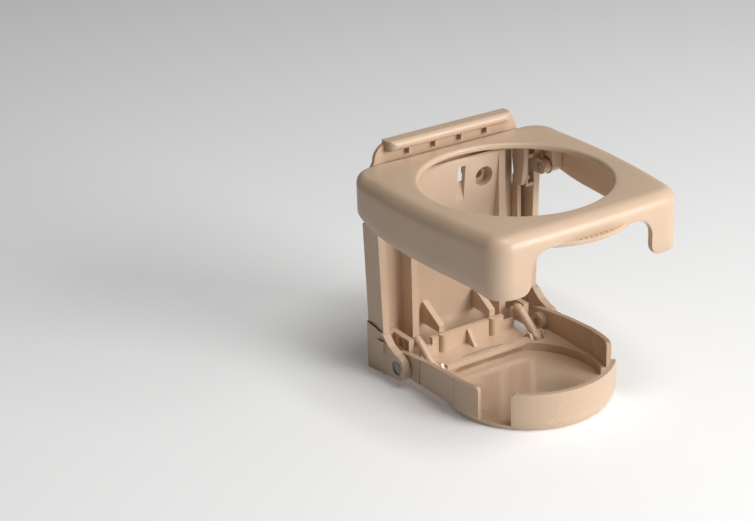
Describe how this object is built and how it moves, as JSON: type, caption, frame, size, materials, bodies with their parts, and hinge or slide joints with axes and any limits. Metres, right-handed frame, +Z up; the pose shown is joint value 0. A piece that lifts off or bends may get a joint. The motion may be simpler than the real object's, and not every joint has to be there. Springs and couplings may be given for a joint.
{
  "type": "folding drink holder",
  "caption": "Folding wall-mounted drink holder in moulded plastic: a cup ring and a dished tray hinged on a back plate and linked by sliders so that they fold flat together.",
  "frame": {"origin": "middle of the back plate's wall face", "axes": "+X to the holder's right as seen from its back, along the hinge pins; +Z up; the cup side faces -Y, and the wall is the plane Y=0"},
  "size_m": [0.1096, 0.1116, 0.1076],
  "materials": {
    "tan_plastic": "semi-gloss moulded tan plastic",
    "pin_steel": "plain stainless pin stock"
  },
  "bodies": {
    "plate": {"back_plate": "tan_plastic"},
    "ring": {"cup_ring": "tan_plastic", "left_ring_pin": "pin_steel", "right_ring_pin": "pin_steel", "left_crank_pin": "tan_plastic", "right_crank_pin": "tan_plastic", "left_ring_washer": "pin_steel", "right_ring_washer": "pin_steel"},
    "tray": {"cup_tray": "tan_plastic", "left_tray_pin": "pin_steel", "right_tray_pin": "pin_steel", "left_foot_pin": "tan_plastic", "right_foot_pin": "tan_plastic", "left_tray_washer": "pin_steel", "right_tray_washer": "pin_steel"},
    "left_slide": {"left_slider": "tan_plastic"},
    "right_slide": {"right_slider": "tan_plastic"},
    "left_arm": {"left_link": "tan_plastic", "left_hook_pin": "tan_plastic"},
    "right_arm": {"right_link": "tan_plastic", "right_hook_pin": "tan_plastic"}
  },
  "joints": [
    {"name": "ring_fold", "type": "hinge", "parent": "plate", "child": "ring", "pos_m": [0, -0.0192, 0.02835], "axis": [1, 0, 0], "range_deg": [0, 90]},
    {"name": "tray_fold", "type": "hinge", "parent": "plate", "child": "tray", "pos_m": [0, -0.0262, -0.04515], "axis": [-1, 0, 0], "range_deg": [0, 90]},
    {"name": "left_slide_up", "type": "slide", "parent": "plate", "child": "left_slide", "axis": [0, 0, 1], "range_m": [0, 0.0125]},
    {"name": "right_slide_up", "type": "slide", "parent": "plate", "child": "right_slide", "axis": [0, 0, 1], "range_m": [0, 0.0125]},
    {"name": "left_arm_turn", "type": "hinge", "parent": "tray", "child": "left_arm", "pos_m": [-0.0283, -0.033, -0.0472], "axis": [-1, 0, 0], "range_deg": [-104.5, 0]},
    {"name": "right_arm_turn", "type": "hinge", "parent": "tray", "child": "right_arm", "pos_m": [0.0283, -0.033, -0.0472], "axis": [-1, 0, 0], "range_deg": [-104.5, 0]}
  ],
  "couplings": [
    {"joint": "tray_fold", "follows": "ring_fold", "ratio": 1},
    {"joint": "left_slide_up", "follows": "ring_fold", "m_per_rad": 0.007894},
    {"joint": "right_slide_up", "follows": "ring_fold", "m_per_rad": 0.007894},
    {"joint": "left_arm_turn", "follows": "ring_fold", "ratio": -1.155},
    {"joint": "right_arm_turn", "follows": "ring_fold", "ratio": -1.155}
  ]
}
